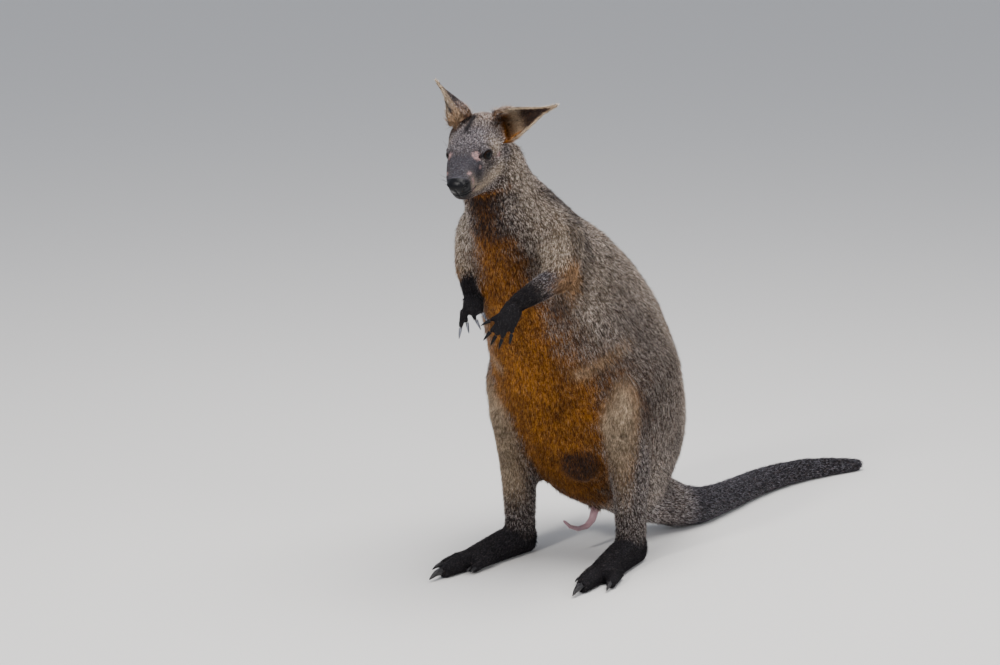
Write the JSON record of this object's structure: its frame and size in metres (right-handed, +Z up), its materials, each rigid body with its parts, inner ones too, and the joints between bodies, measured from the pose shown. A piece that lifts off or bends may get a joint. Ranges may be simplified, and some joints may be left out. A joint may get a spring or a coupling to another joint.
{
  "type": "wallaby figure",
  "caption": "Life-size still figure of an adult male swamp wallaby standing upright at rest, hands held before its chest and tail laid out behind on the floor.",
  "frame": {"origin": "the middle of the whole figure's box in X and Y, at the floor the figure stands on", "axes": "+X the way the trunk faces, +Y the animal's left side, +Z up; the tail runs back along -X and swings to +Y"},
  "size_m": [1.1296, 0.3078, 0.7722],
  "materials": {
    "back_coat": "grizzled grey-brown fur",
    "belly_coat": "orange-rust fur with dark bases",
    "face_coat": "short grizzled grey fur, dark on the muzzle",
    "dark_coat": "short near-black fur",
    "nose_skin": "moist black skin with fine pores",
    "eye": "wet, near-black brown",
    "horn": "grey-black claw, lighter on top",
    "pink_skin": "bare pink skin"
  },
  "bodies": {
    "root": {"head": "face_coat", "lower_jaw": "face_coat", "nose_pad": "nose_skin", "eye_left": "eye", "eye_right": "eye", "ear_left": "back_coat", "ear_right": "back_coat", "neck": "back_coat", "chest": "back_coat", "abdomen": "belly_coat", "rump": "back_coat", "scrotum": "dark_coat", "penis": "pink_skin", "tail_1": "dark_coat", "tail_2": "dark_coat", "tail_3": "dark_coat", "tail_4": "dark_coat", "thigh_left": "back_coat", "shin_left": "back_coat", "foot_left": "dark_coat", "toe_fourth_left": "dark_coat", "claw_fourth_left": "horn", "toe_fifth_left": "dark_coat", "claw_fifth_left": "horn", "toe_inner_left": "dark_coat", "claw_inner1_left": "horn", "claw_inner2_left": "horn", "upper_arm_left": "back_coat", "forearm_left": "dark_coat", "hand_left": "dark_coat", "claw_thumb_left": "horn", "claw_index_left": "horn", "claw_middle_left": "horn", "claw_ring_left": "horn", "claw_little_left": "horn", "thigh_right": "back_coat", "shin_right": "back_coat", "foot_right": "dark_coat", "toe_fourth_right": "dark_coat", "claw_fourth_right": "horn", "toe_fifth_right": "dark_coat", "claw_fifth_right": "horn", "toe_inner_right": "dark_coat", "claw_inner1_right": "horn", "claw_inner2_right": "horn", "upper_arm_right": "back_coat", "forearm_right": "dark_coat", "hand_right": "dark_coat", "claw_thumb_right": "horn", "claw_index_right": "horn", "claw_middle_right": "horn", "claw_ring_right": "horn", "claw_little_right": "horn"}
  },
  "joints": []
}
